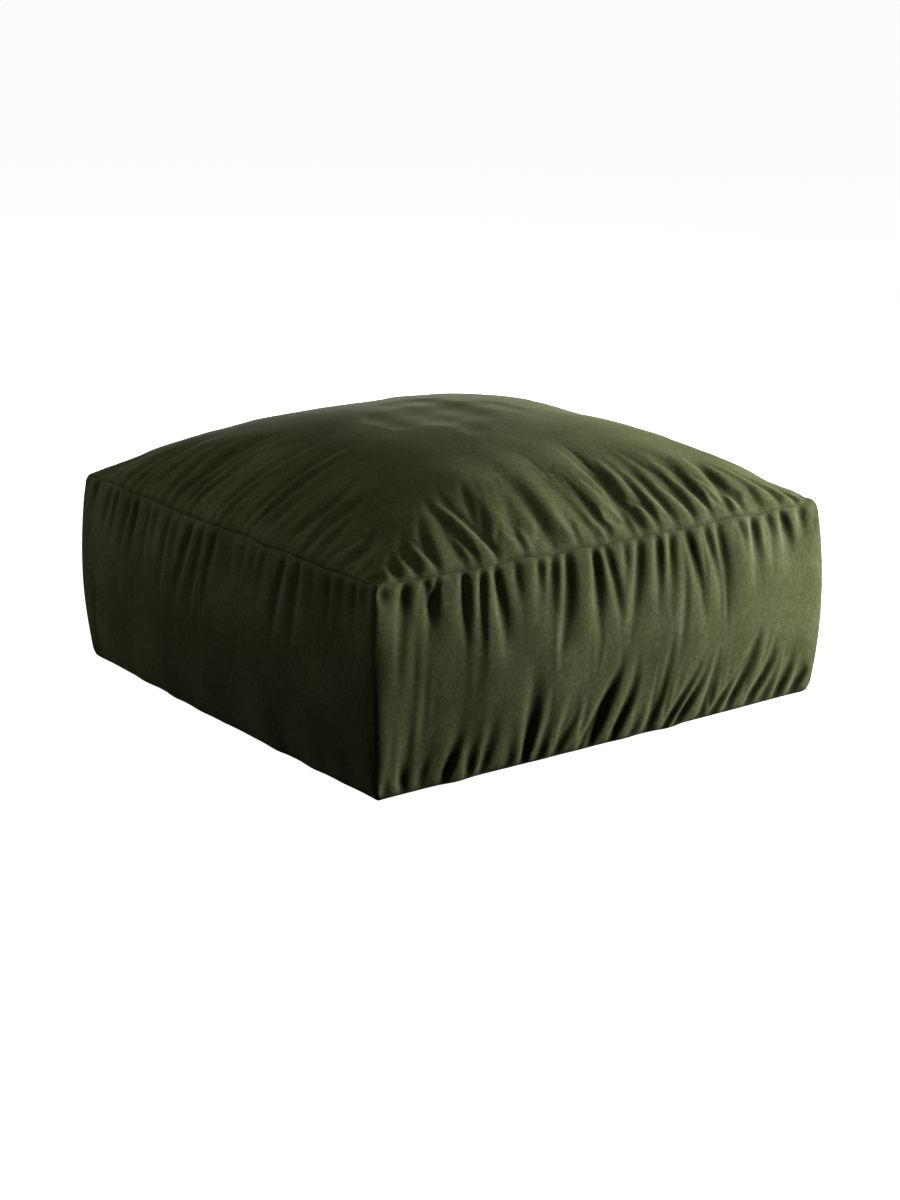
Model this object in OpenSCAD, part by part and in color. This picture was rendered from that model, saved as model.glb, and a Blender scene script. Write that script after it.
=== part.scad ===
// Square floor cushion: a foam and fibre filling in a cotton liner, inside a gathered velvet cover
// that closes with a zip low on its rear side.
// Frame: origin at the middle of the base, on the floor. +X right, +Y to the rear, +Z up. Millimetres.

/* [Cushion] */
// Width and depth, measured seam to seam
cushion_w = 900; // [700:10:1100]
// Height of the top seam above the floor
seam_h = 340; // [260:5:400]
// Rise of the crowned top above the top seam
crown_h = 130; // [60:5:140]
// How far each side swells past its seams
side_bulge = 30; // [10:1:30]

/* [Cover] */
// Thickness of the velvet and of the base cloth
cloth_t = 2; // [1:0.5:3]
// Room between cover and liner that the gathers take up, at the sides and the top
gather_room = 14; // [10:0.5:16]
// Width of the stay tapes that hold the gathered seams to length
stay_tape_w = 12; // [8:1:20]

/* [Filling] */
// Thickness of the cotton liner
liner_t = 1; // [0.5:0.5:2]
// Wadding round the foam, before it fills out the bulge
wadding_t = 25; // [15:1:35]
// Firm foam slab at the bottom
firm_slab_h = 60; // [40:5:80]
// Soft foam slab on top
soft_slab_h = 60; // [40:5:80]
// Sewn channels across the fibre topper
topper_channels = 5; // [3:1:6]

/* [Zip] */
// Height of the zip above the floor
zip_h = 56; // [50:1:60]
// Length of the toothed chain
zip_len = 780; // [500:4:840]
// Distance from one tooth to the next on the same side
tooth_pitch = 4; // [4:1:6]

/* [Hidden] */
half_w = cushion_w / 2;
zip_zone_h = 96;                 // the rear side stays flat up to here, so that the zip runs straight
crown_steps = 20;                // facets across the crown
crown_power = 3;                 // the higher, the flatter the middle of the crown
crown_shoulder = 0.66;           // the lower, the steeper it rises from the seam
bulge_steps = 8;                 // facets up or along a swelling side
reach = cushion_w;               // past everything, for cutting shapes

liner_in = cloth_t + gather_room;          // how far inside the cover's face the liner starts
wadding_in = liner_in + liner_t;
foam_in = wadding_in + wadding_t;
foam_floor = foam_in - gather_room;        // the filling rests on the base cloth, with no room there
mitre_lead = 0.06;               // degrees; each corner seam lies just round its corner
foam_w = cushion_w - 2 * foam_in;
topper_below_seam = 40;                    // the topper starts this far below the top seam
foam_top = seam_h - topper_below_seam;
topper_in = wadding_in + 20;               // the wadding over the topper is a little thinner
casing_t = 1;
tape_t = 0.8;
stay_tape_in = cloth_t + 4;                // from the cover's face to a stay tape
stay_tape_cut = 10;                        // the stay tape goes straight across each corner from here
stay_tape_up = 6;                          // from a seam to the stay tape's nearer edge

chain_y = half_w - cloth_t - tape_t / 2 - 0.2; // middle of the zip's thickness, behind the cloth
tooth_t = 3;
tooth_reach = 3.6;               // from the chain's centre line to the tape's corded edge
slot_half_h = 7;                 // half the slit between the two rear panels
slit_end = 6;                    // the slit runs on past the chain at both ends
tape_w = 20;
tape_end = 14;                   // and the tapes run on further
stop_gap = 1;                    // from the chain's end to the first stop
top_stop_l = 4;
bottom_stop_l = 5;
tape_edge = 2.2;                 // from the centre line to the tape edge that the teeth grip
parting = 1.4;                   // between the two rows of teeth, where the slider's post runs
post_w = 0.8;
post_l = 5;
running_gap = 0.4;               // between the chain and the slider's channel
slider_l = 20;
slider_w = 12.4;
plate_t = 1.5;
slider_rest_x = zip_len / 2 - slider_l / 2 - 8;
pin_r = 0.9;
outer_plate_y = chain_y + tooth_t / 2 + running_gap;
inner_plate_y = chain_y - tooth_t / 2 - running_gap;
pin_y = outer_plate_y + plate_t + 0.35 + pin_r;
bridge_in = pin_r + 0.35;        // free height and half width round the pull tab's pin
bridge_t = 1.3;
bridge_w = 2.4;
tab_l = 32;
tab_w = 9;
tab_t = 1.5;
label_w = 38;
label_h = 26;
label_t = 0.6;
label_up = 16;                   // the label's lower edge above the floor
label_in = 2;                    // from the corner seam to the label

velvet = "#3d4127";
base_cloth = "#23241f";
cotton = "#e6e0d0";
fibre = "#f4f3ee";
foam_soft = "#f0e8c8";
foam_medium = "#bcd0dc";
foam_firm = "#9fa6ad";
zip_green = "#30341f";
bronze = "#6b5a3c";

// --- Outlines ---------------------------------------------------------------------------------

// Swell of a side at t, from 0 at one seam to 1 at the other
function swell(t) = side_bulge * 4 * t * (1 - t);

// Height of the crown at u, from -1 at one seam to 1 at the other, above the top seam
function crown(u) = crown_h * pow(1 - pow(abs(u), crown_power), crown_shoulder);

// The same from corner to corner, where both pairs of seams pull it down
function corner_crown(u) = crown_h * pow(1 - pow(abs(u), crown_power), 2 * crown_shoulder);

// One swelling side seen edge on, from the floor up, starting at z0
function side_points(half, bottom, z0, top) =
    [for (k = [0:bulge_steps]) let (t = k / bulge_steps)
        [half + swell(t), max(bottom, z0 + (top - z0) * t)]];

// The crown from one seam to the other, its end points left to the sides
function crown_points(half, top) =
    [for (k = [1:crown_steps - 1]) let (u = cos(180 * k / crown_steps))
        [half * u, top + crown(u)]];

function corner_crown_points(half, top) =
    [for (k = [0:crown_steps]) let (u = cos(180 * k / crown_steps))
        [half * sqrt(2) * u, top + corner_crown(u)]];

function flip(points) = [for (k = [len(points) - 1:-1:0]) [-points[k][0], points[k][1]]];

// Section across the width, d inside the cover's outer face, with its floor at the height given
module width_section(d, floor_z) {
    side = side_points(half_w - d, floor_z, 0, seam_h - d);
    polygon(concat(side, crown_points(half_w - d, seam_h - d), flip(side)));
}

// Section along the depth; the rear side is flat where the zip runs
module depth_section(d, floor_z) {
    front = side_points(half_w - d, floor_z, 0, seam_h - d);
    rear = concat([[half_w - d, floor_z]], side_points(half_w - d, floor_z, zip_zone_h, seam_h - d));
    polygon(concat(rear, crown_points(half_w - d, seam_h - d), flip(front)));
}

// Section from corner to corner; it shapes only the crown and is open below the top seam
module corner_section(d) {
    polygon(concat([[2 * reach, -reach], [2 * reach, seam_h - d]],
        corner_crown_points(half_w - d, seam_h - d),
        [[-2 * reach, seam_h - d], [-2 * reach, -reach]]));
}

// Plan: straight corners, each side swelling between them
module plan(d) {
    run = [for (k = [0:bulge_steps - 1]) let (t = k / bulge_steps)
        [half_w - d + swell(t), (2 * t - 1) * (half_w - d)]];
    polygon([for (quarter = [0:3]) for (p = run)
        [p[0] * cos(90 * quarter) - p[1] * sin(90 * quarter),
         p[0] * sin(90 * quarter) + p[1] * cos(90 * quarter)]]);
}

// --- Solids that the soft parts are cut from -----------------------------------------------------

// The whole cushion's form, d inside the cover's outer face; what is in the liner rests on the base
module form(d) {
    form_from(d, d > cloth_t ? d - gather_room : d);
}

module form_from(d, floor_z) {
    intersection() {
        rotate([90, 0, 0]) linear_extrude(2 * reach, center = true) width_section(d, floor_z);
        rotate([90, 0, 90]) linear_extrude(2 * reach, center = true) depth_section(d, floor_z);
        rotate([90, 0, 45]) linear_extrude(4 * reach, center = true) corner_section(d);
        rotate([90, 0, -45]) linear_extrude(4 * reach, center = true) corner_section(d);
        linear_extrude(reach) plan(d);
    }
}

// A hollow skin between two depths inside the cover's face
module skin(outer_d, inner_d) {
    difference() {
        form(outer_d);
        form(inner_d);
    }
}

// All the space between two heights
module between(low, high) {
    translate([-reach, -reach, low]) cube([2 * reach, 2 * reach, high - low]);
}

// The quarter of the plan that faces one side: 0 right, 1 rear, 2 left, 3 front
module quarter(side) {
    rotate([0, 0, 90 * side + mitre_lead])
        linear_extrude(reach)
            polygon([[0, 0], [reach, -reach], [reach, reach]]);
}

// --- Velvet cover ------------------------------------------------------------------------------

module top_panel() {
    color(velvet) intersection() {
        skin(0, cloth_t);
        between(seam_h, reach);
    }
}

module side_panel(side, low, high) {
    intersection() {
        difference() {
            form(0);
            form_from(cloth_t, 0);
        }
        between(low, high);
        quarter(side);
    }
}

module front_panel() {
    color(velvet) side_panel(3, cloth_t, seam_h);
}

module left_panel() {
    color(velvet) side_panel(2, cloth_t, seam_h);
}

module right_panel() {
    color(velvet) side_panel(0, cloth_t, seam_h);
}

// The slit that the zip's chain and slider run in
module zip_slit() {
    translate([-zip_len / 2 - slit_end, half_w - 2 * cloth_t, zip_h - slot_half_h])
        cube([zip_len + 2 * slit_end, 4 * cloth_t, 2 * slot_half_h]);
}

module rear_panel_upper() {
    color(velvet) difference() {
        side_panel(1, zip_h, seam_h);
        zip_slit();
    }
}

module rear_panel_lower() {
    color(velvet) difference() {
        side_panel(1, cloth_t, zip_h);
        zip_slit();
    }
}

module base_panel() {
    color(base_cloth) intersection() {
        form(0);
        between(0, cloth_t);
    }
}

// Tape sewn inside a gathered seam, all the way round
module stay_tape(low) {
    half = half_w - stay_tape_in;
    color(cotton) translate([0, 0, low]) linear_extrude(stay_tape_w) difference() {
        cut_square(half, stay_tape_cut);
        cut_square(half - tape_t, stay_tape_cut);
    }
}

module cut_square(half, cut) {
    polygon([for (quarter = [0:3]) for (p = [[half, cut - half], [half, half - cut]])
        [p[0] * cos(90 * quarter) - p[1] * sin(90 * quarter),
         p[0] * sin(90 * quarter) + p[1] * cos(90 * quarter)]]);
}

module top_stay_tape() {
    stay_tape(seam_h - stay_tape_up - stay_tape_w);
}

module base_stay_tape() {
    stay_tape(stay_tape_up);
}

// Blank satin label, caught in the rear corner seam and lying on the lower rear panel
module care_label() {
    color("white") translate([-half_w + label_in, half_w + 0.2, label_up])
        cube([label_w, label_t, label_h]);
}

// --- Liner, wadding, topper and foam ---------------------------------------------------------------

module liner_piece(low, high) {
    color(cotton) intersection() {
        skin(liner_in, wadding_in);
        between(low, high);
    }
}

module liner_top() {
    liner_piece(seam_h - liner_in, reach);
}

module liner_band() {
    liner_piece(wadding_in, seam_h - liner_in);
}

module liner_base() {
    liner_piece(0, wadding_in);
}

module wadding_base() {
    color(fibre) intersection() {
        form(wadding_in);
        between(0, foam_floor);
    }
}

// Fills the bulge between the straight foam and the swelling liner
module wadding_band() {
    color(fibre) difference() {
        intersection() {
            form(wadding_in);
            between(foam_floor, foam_top);
        }
        translate([-foam_w / 2, -foam_w / 2, 0]) cube([foam_w, foam_w, reach]);
    }
}

module wadding_top() {
    color(fibre) intersection() {
        skin(wadding_in, topper_in);
        between(foam_top, reach);
    }
}

module topper_casing() {
    color(cotton) difference() {
        intersection() {
            form(topper_in);
            between(foam_top, reach);
        }
        intersection() {
            form(topper_in + casing_t);
            between(foam_top + casing_t, reach);
        }
    }
}

// Upright cloth walls that part the topper into channels
module baffle_walls() {
    pitch = cushion_w / topper_channels;
    for (k = [1:topper_channels - 1])
        translate([-half_w + k * pitch - casing_t / 2, -reach, 0])
            cube([casing_t, 2 * reach, reach]);
}

module topper_inside() {
    intersection() {
        form(topper_in + casing_t);
        between(foam_top + casing_t, reach);
    }
}

module topper_baffles() {
    color(cotton) intersection() {
        topper_inside();
        baffle_walls();
    }
}

module topper_fill() {
    color(fibre) difference() {
        topper_inside();
        baffle_walls();
    }
}

module foam_slab(low, high) {
    translate([-foam_w / 2, -foam_w / 2, low]) cube([foam_w, foam_w, high - low]);
}

module foam_firm_slab() {
    color(foam_firm) foam_slab(foam_floor, foam_floor + firm_slab_h);
}

module foam_block() {
    color(foam_medium) foam_slab(foam_floor + firm_slab_h, foam_top - soft_slab_h);
}

module foam_soft_slab() {
    color(foam_soft) foam_slab(foam_top - soft_slab_h, foam_top);
}

// --- Zip -------------------------------------------------------------------------------------------

// Turns a shape that is drawn flat, with x along the zip and y up it, to stand on the rear side
module on_zip(y, thick) {
    translate([0, y + thick / 2, zip_h]) rotate([90, 0, 0]) linear_extrude(thick) children();
}

module zip_tape() {
    translate([-zip_len / 2 - tape_end, tape_edge]) square([zip_len + 2 * tape_end, tape_w]);
}

module zip_tape_upper() {
    color(zip_green) on_zip(chain_y, tape_t) zip_tape();
}

module zip_tape_lower() {
    color(zip_green) on_zip(chain_y, tape_t) mirror([0, 1]) zip_tape();
}

// One side's teeth, moulded in one with the strip that grips the tape's edge;
// lag sets the two sides half a pitch apart
module tooth_comb(lag) {
    tooth_w = tooth_pitch * 0.5;
    teeth = floor(zip_len / tooth_pitch) - 1;
    start = -zip_len / 2 + lag;
    root = 1.6;
    polygon(concat(
        [for (k = [0:teeth - 1])
            for (corner = [[0, root], [0, parting / 2], [tooth_w, parting / 2], [tooth_w, root]])
                [start + tooth_pitch * k + corner[0], corner[1]]],
        [[start + tooth_pitch * (teeth - 1) + tooth_w, tooth_reach], [start, tooth_reach]]));
}

module zip_teeth_upper() {
    color(zip_green) difference() {
        on_zip(chain_y, tooth_t) tooth_comb(0);
        on_zip(chain_y, tape_t) zip_tape();
    }
}

module zip_teeth_lower() {
    color(zip_green) difference() {
        on_zip(chain_y, tooth_t) mirror([0, 1]) tooth_comb(tooth_pitch / 2);
        on_zip(chain_y, tape_t) mirror([0, 1]) zip_tape();
    }
}

// Two small stops past the last teeth at the closed end, each crimped round its tape's edge
module zip_top_stops() {
    color(bronze) for (side = [0, 1]) difference() {
        on_zip(chain_y, tooth_t) mirror([0, side])
            translate([zip_len / 2 + stop_gap, 1]) square([top_stop_l, tooth_reach - 1]);
        on_zip(chain_y, tape_t) mirror([0, side]) zip_tape();
    }
}

// One stop across both sides at the open end
module zip_bottom_stop() {
    color(bronze) difference() {
        on_zip(chain_y, tooth_t)
            translate([-zip_len / 2 - stop_gap - bottom_stop_l, -tooth_reach])
                square([bottom_stop_l, 2 * tooth_reach]);
        for (side = [0, 1]) on_zip(chain_y, tape_t) mirror([0, side]) zip_tape();
    }
}

// Shield outline of the slider's plates, round at the leading end
module slider_outline() {
    hull() {
        translate([-slider_l / 2, -slider_w / 2 + 1.2]) square([4, slider_w - 2.4]);
        translate([slider_l / 2 - slider_w / 2, 0]) circle(d = slider_w, $fn = 32);
    }
}

// The slider: two flanged plates with a slit each side for the tapes, joined by a post that runs
// between the two rows of teeth; a bridge on the outer plate holds the pull tab's pin
module zip_slider() {
    channel_half = tooth_reach + running_gap;
    tape_slit = tape_t + 2 * running_gap;
    depth = outer_plate_y - inner_plate_y + 2 * plate_t;
    bridge_l = 2 * (bridge_in + bridge_t);
    color(bronze) translate([slider_rest_x, 0, 0]) {
        difference() {
            on_zip(chain_y, depth) slider_outline();
            on_zip(chain_y, depth - 2 * plate_t)
                translate([-slider_l, -channel_half]) square([2 * slider_l, 2 * channel_half]);
            on_zip(chain_y, tape_slit) square([2 * slider_l, 2 * slider_w], center = true);
        }
        on_zip(chain_y, depth - plate_t)
            translate([slider_l / 2 - 3 - post_l, -post_w / 2]) square([post_l, post_w]);
        translate([-bridge_l / 2, outer_plate_y + plate_t, zip_h - bridge_w / 2]) difference() {
            cube([bridge_l, pin_y - outer_plate_y - plate_t + bridge_in + bridge_t, bridge_w]);
            translate([bridge_t, -1, -1])
                cube([2 * bridge_in, pin_y - outer_plate_y - plate_t + bridge_in + 1, bridge_w + 2]);
        }
    }
}

// Pull tab: a flat bar with a window round the bridge and a pin that turns under it
module zip_pull_tab() {
    window_w = bridge_w + 1;
    window_l = 6;
    color(bronze) translate([slider_rest_x, pin_y, zip_h]) {
        cylinder(r = pin_r, h = window_w + 2, center = true, $fn = 24);
        rotate([90, 0, 0]) linear_extrude(tab_t, center = true) difference() {
            hull() {
                translate([0, 0]) square([1.6, window_w + 3], center = true);
                translate([-tab_l + tab_w / 2, 0]) circle(d = tab_w, $fn = 32);
            }
            translate([-window_l, -window_w / 2]) square([window_l + 2, window_w]);
            translate([-tab_l + tab_w / 2, 0]) circle(d = 3.6, $fn = 32);
        }
    }
}

top_panel();
front_panel();
left_panel();
right_panel();
rear_panel_upper();
rear_panel_lower();
base_panel();
top_stay_tape();
base_stay_tape();
care_label();
liner_top();
liner_band();
liner_base();
wadding_top();
wadding_band();
wadding_base();
topper_casing();
topper_baffles();
topper_fill();
foam_soft_slab();
foam_block();
foam_firm_slab();
zip_tape_upper();
zip_tape_lower();
zip_teeth_upper();
zip_teeth_lower();
zip_top_stops();
zip_bottom_stop();
zip_slider();
zip_pull_tab();
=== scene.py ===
"""Looks of a square velvet floor cushion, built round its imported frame."""

import math

import bpy
import numpy as np
from bpy.props import FloatProperty, IntProperty, PointerProperty, StringProperty
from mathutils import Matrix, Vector


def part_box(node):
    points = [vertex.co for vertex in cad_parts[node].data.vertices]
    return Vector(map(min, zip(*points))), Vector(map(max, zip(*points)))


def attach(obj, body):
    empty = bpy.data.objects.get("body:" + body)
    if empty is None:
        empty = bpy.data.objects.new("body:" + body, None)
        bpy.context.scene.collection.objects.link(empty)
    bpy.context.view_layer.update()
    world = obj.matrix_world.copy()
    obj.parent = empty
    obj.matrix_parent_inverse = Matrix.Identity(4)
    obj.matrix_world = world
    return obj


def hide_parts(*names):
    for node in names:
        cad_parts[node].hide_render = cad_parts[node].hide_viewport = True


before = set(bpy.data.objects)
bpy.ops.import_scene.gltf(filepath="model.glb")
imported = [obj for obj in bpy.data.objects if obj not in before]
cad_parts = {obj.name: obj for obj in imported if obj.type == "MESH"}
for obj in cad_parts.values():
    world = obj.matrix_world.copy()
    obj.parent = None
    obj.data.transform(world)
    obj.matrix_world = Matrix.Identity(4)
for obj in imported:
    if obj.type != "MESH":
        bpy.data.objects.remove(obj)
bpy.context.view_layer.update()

bl_info = {
    "name": "Velvet floor cushion",
    "version": (1, 0, 0),
    "blender": (4, 5, 0),
    "location": "View3D > Sidebar > Cushion",
    "description": "Builds a gathered velvet floor cushion with its zip, filling and stage",
    "category": "Object",
}

MM = 0.001
SIDE_NAMES = ("front", "right", "rear", "left")

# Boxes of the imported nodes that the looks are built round
TOP_LOW, TOP_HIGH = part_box("top_panel")
TEETH_UP_LOW, TEETH_UP_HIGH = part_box("zip_teeth_upper")
TEETH_DOWN_LOW, TEETH_DOWN_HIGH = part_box("zip_teeth_lower")
LABEL_LOW, LABEL_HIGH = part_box("care_label")

# The zip's slit in the rear side, which runs as far to the left as to the right
SLIT_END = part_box("zip_top_stops")[1].x
SLIT_HALF = 7 * MM
ZIP_HEIGHT = (TEETH_UP_HIGH.z + TEETH_DOWN_LOW.z) / 2
FLAT_ZONE = ZIP_HEIGHT + 40 * MM     # the rear side has no gathers below this height

# How the cushion's outline is rounded; the powers and shoulders are those of pillow() below
CORNER_POWER = 14                    # the higher, the closer a corner's reach keeps to the corner
LIFT_POWER = 10                      # the same for the base seam's rise towards a corner
CROWN_POWER, CROWN_SHOULDER = 3, 0.56
SWELL_POWER = 2
SWELL_SHOULDER_UP, SWELL_SHOULDER_ALONG = 0.75, 0.9

# Unevenness of the seams
TOP_WOBBLE = 1.3 * MM                # in and out
TOP_HEIGHT_WOBBLE = 1.6 * MM         # up and down
BASE_HEIGHT_WOBBLE = 1.5 * MM
FADE_IN = 30 * MM                    # the filling's lumps fade in over this distance from a seam

# How each kind of seam draws the cloth in, as a share of the groove's depth, for the front side
TOP_SEAM_PULL = (0, 0.50, -0.20)
BASE_SEAM_PULL = (0, 0.65, 0)
CORNER_SEAM_PULL = (0.71, 0.71, 0)
JOIN_PULL = (0, -1.2 * MM, 0)        # of the plain join past the zip's ends, in metres

# The gathers along each side's seams, in the order of SIDE_NAMES: how many folds; the least and
# the most that one may reach, be deep and be wide, in millimetres; their lean and their fan
TOP_GATHERS = (
    (25, (130, 280), (9, 16), (7, 11), 0.0, 0.1),
    (22, (100, 230), (7, 13), (7, 11), 0.0, 0.1),
    (22, (100, 240), (7, 13), (7, 11), 0.0, 0.1),
    (30, (190, 350), (8, 13), (7, 10), 0.0, 0.1))
SIDE_GATHERS = (
    (26, (110, 260), (9, 16), (6.5, 10), 0.05, 0.22),
    (24, (90, 200), (8, 15), (7, 11), 0.0, 0.22),
    (24, (90, 200), (8, 15), (7, 11), 0.0, 0.22),
    (24, (120, 230), (9, 14), (7, 10), 0.0, 0.22))
BASE_GATHERS = (
    (25, (90, 200), (8, 14), (8, 11), 0.35, 0.25),
    (22, (60, 150), (6, 12), (8, 11), 0.2, 0.2),
    (16, (10, 24), (1, 2), (8, 13), 0.2, 0.2),
    (9, (40, 90), (1, 4), (10, 16), 0.0, 0.2))
DEEPEST_FOLD = 15 * MM

# The lights round the cushion: name, azimuth and elevation in degrees, distance and size in metres,
# and power in watts
LIGHTS = (
    ("key_light", 64, 10, 2.4, 0.9, 176),
    ("sky_light", 0, 89, 4.0, 5.0, 36),
    ("back_light", 152, 8, 3.2, 1.0, 41),
    ("left_light", -142, 18, 3.0, 1.0, 18),
    ("fill_light", -60, 38, 3.2, 2.2, 4))
FLOOR_SIZE = 300


# --- Sizes and colours a user would change ---

def length(name, description, default):
    """A size in metres."""
    return FloatProperty(name=name, description=description, default=default, unit="LENGTH")


def number(name, description, default):
    return FloatProperty(name=name, description=description, default=default)


def dye(name, description, default):
    """A colour, as an sRGB hex string."""
    return StringProperty(name=name, description=description, default=default)


class CushionSizes(bpy.types.PropertyGroup):
    half_width: length(
        "Half width", "From the middle to a side seam, from the packed top panel", TOP_HIGH.x)
    seam_height: length(
        "Seam height", "Top seam above the floor, from the packed top panel", TOP_LOW.z)
    crown: length("Crown", "Rise of the top above its seam before the cloth swells", 104 * MM)
    side_swell: length(
        "Side swell", "How far the middle of a side stands out past its seams", 23 * MM)
    top_seam_bow: length("Top seam bow", "How far the middle of the top seam bows outwards", 8 * MM)
    base_seam_bow: length(
        "Base seam bow", "How far the middle of the base seam bows outwards", 6 * MM)
    corner_bow: length("Corner bow", "How far a corner seam bows outwards half way up", 11 * MM)
    corner_out: length(
        "Corner reach", "How far a corner stands out before its seams draw it in", 6 * MM)
    base_seam_height: length("Base seam height", "Base seam above the floor", 2 * MM)
    corner_lift: length("Corner lift", "Extra height of the base seam at a corner", 4 * MM)
    seam_groove: length("Seam groove", "How deep the cloth is drawn in at a seam", 6 * MM)
    seam_roll: length("Seam roll", "How far from a seam the cloth starts to roll in", 14 * MM)
    velvet_thickness: length("Velvet thickness", "Backing and pile together", 1.8 * MM)
    grid_step: length("Grid step", "Spacing of the cloth's grid", 6 * MM)


class CushionCloth(bpy.types.PropertyGroup):
    seed: IntProperty(name="Seed", description="Seed of the gathers", default=11)
    frames: IntProperty(name="Frames", description="Frames the cloth settles for", default=12)
    pressure: number("Pressure", "Push of the filling on the cloth", 20)
    point_mass: number("Point mass", "Mass of one grid point, in kilograms", 0.01)
    stiffness: number("Stiffness", "Resistance of the cloth to stretch", 20)
    bending: number("Bending", "Resistance of the cloth to bending", 0.1)
    most_move: length("Most move", "Furthest that a point of the cloth may settle", 26 * MM)


class CushionColours(bpy.types.PropertyGroup):
    # velvet is the cloth's own colour; velvet_painted_sheen, a lighter copy laid in random patches,
    # is painted sheen of pile that catches the light
    velvet: dye("Velvet", "Pile lying away from the light", "#474a2b")
    velvet_painted_sheen: dye("Velvet, brushed", "Pile brushed up", "#55583a")
    sheen: dye("Velvet sheen", "Tips of the pile", "#c9cb9c")
    base_cloth: dye("Base cloth", "Woven cloth under the cushion", "#23241f")
    cotton: dye("Cotton", "Liner, topper casing and baffles", "#e6e0d0")
    fibre: dye("Fibre", "Wadding and topper", "#f4f3ee")
    foam_soft: dye("Soft foam", "Top slab", "#f0e8c8")
    foam_medium: dye("Medium foam", "Middle block", "#bcd0dc")
    foam_firm: dye("Firm foam", "Bottom slab", "#9fa6ad")
    zip_green: dye("Zip", "Zip tape and teeth", "#30341f")
    bronze: dye("Bronze", "Plating of the slider and stops", "#6b5a3c")
    label: dye("Label", "Blank satin label", "#e9e7df")
    floor: dye("Floor", "Studio floor", "#f2f2f2")


class CushionStage(bpy.types.PropertyGroup):
    azimuth: number("Azimuth", "Camera round the cushion, in degrees", -35.97)
    elevation: number("Elevation", "Camera above the floor, in degrees", 15.79)
    distance: length("Distance", "Camera from the aim point", 4.077)
    lens: number("Lens", "Focal length in millimetres", 69.9)
    shift_x: number("Shift across", "Share of the frame's longer side", 0.00575)
    shift_y: number("Shift up", "Share of the frame's longer side", -0.0152)


# --- Small helpers ---

def linear(hex_colour):
    """An sRGB hex colour as linear red, green, blue and alpha."""
    found = []
    for k in (1, 3, 5):
        c = int(hex_colour[k:k + 2], 16) / 255
        found.append(c / 12.92 if c <= 0.04045 else ((c + 0.055) / 1.055) ** 2.4)
    return (*found, 1.0)


def deselect():
    bpy.ops.object.select_all(action="DESELECT")


def activate(piece):
    deselect()
    piece.select_set(True)
    bpy.context.view_layer.objects.active = piece


def modify(piece, kind, **settings):
    """Adds a modifier with its settings and applies it."""
    activate(piece)
    modifier = piece.modifiers.new(kind.title(), kind)
    for name, value in settings.items():
        setattr(modifier, name, value)
    bpy.ops.object.modifier_apply(modifier=modifier.name)


def settle_place(piece):
    """Puts the piece's place into its mesh, so that its object sits at the origin."""
    activate(piece)
    bpy.ops.object.transform_apply(location=True, rotation=True, scale=True)


def smooth(piece, degrees=None):
    activate(piece)
    if degrees is None:
        bpy.ops.object.shade_smooth()
    else:
        bpy.ops.object.shade_smooth_by_angle(angle=math.radians(degrees))


def finish_piece(piece, name, body, material, nodes=()):
    """Names a piece and says what it rides on, what it stands for and what it is made of."""
    settle_place(piece)
    piece.name = piece.data.name = name
    piece.data.materials.clear()
    piece.data.materials.append(material)
    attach(piece, body)
    if nodes:
        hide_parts(*nodes)
    return piece


def mesh_piece(name, points, faces):
    mesh = bpy.data.meshes.new(name)
    mesh.from_pydata([tuple(p) for p in points], [], [tuple(f) for f in faces])
    mesh.update()
    piece = bpy.data.objects.new(name, mesh)
    bpy.context.scene.collection.objects.link(piece)
    return piece


# --- Materials ---

def new_material(name):
    """A material, its empty node tree and the coordinates that its patterns are laid out on."""
    material = bpy.data.materials.new(name)
    material.use_nodes = True
    tree = material.node_tree
    tree.nodes.clear()
    return material, tree, add(tree, "ShaderNodeTexCoord").outputs["Object"]


def add(tree, kind, links=None, **settings):
    """Adds a node. Settings are its properties, or its inputs by name; links join its inputs to
    other nodes' outputs."""
    node = tree.nodes.new(kind)
    for name, value in settings.items():
        if hasattr(node, name):
            setattr(node, name, value)
        else:
            node.inputs[name.replace("_", " ")].default_value = value
    for name, output in (links or {}).items():
        tree.links.new(output, node.inputs[name])
    return node


def surface(tree, links, **settings):
    shader = add(tree, "ShaderNodeBsdfPrincipled", links, **settings)
    add(tree, "ShaderNodeOutputMaterial", {"Surface": shader.outputs["BSDF"]})


def maths(tree, operation, a, b):
    """The result of a maths node; b is another node's output or a plain number."""
    links = {0: a} if isinstance(b, float) else {0: a, 1: b}
    node = add(tree, "ShaderNodeMath", links, operation=operation)
    if isinstance(b, float):
        node.inputs[1].default_value = b
    return node.outputs[0]


def noise(tree, place, scale, detail, **more):
    node = add(tree, "ShaderNodeTexNoise", {"Vector": place}, Scale=scale, Detail=detail, **more)
    return node.outputs["Fac"]


def bumped(tree, height, strength, distance, below=None):
    links = {"Height": height, **(below or {})}
    node = add(tree, "ShaderNodeBump", links, Strength=strength, Distance=distance)
    return node.outputs["Normal"]


def spread(tree, factor, low, high):
    """A factor of 0 to 1 laid out between two values."""
    node = add(tree, "ShaderNodeMapRange", {"Value": factor}, To_Min=low, To_Max=high)
    return node.outputs["Result"]


def colour_ramp(tree, factor, stops):
    ramp = add(tree, "ShaderNodeValToRGB", {"Fac": factor})
    elements = ramp.color_ramp.elements
    while len(elements) < len(stops):
        elements.new(0.5)
    for element, (place, colour) in zip(elements, stops):
        element.position = place
        element.color = colour
    return ramp.outputs["Color"]


def shade(colour, by):
    """A linear colour made lighter or darker."""
    return (*[min(1.0, c * by) for c in colour[:3]], 1.0)


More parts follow.
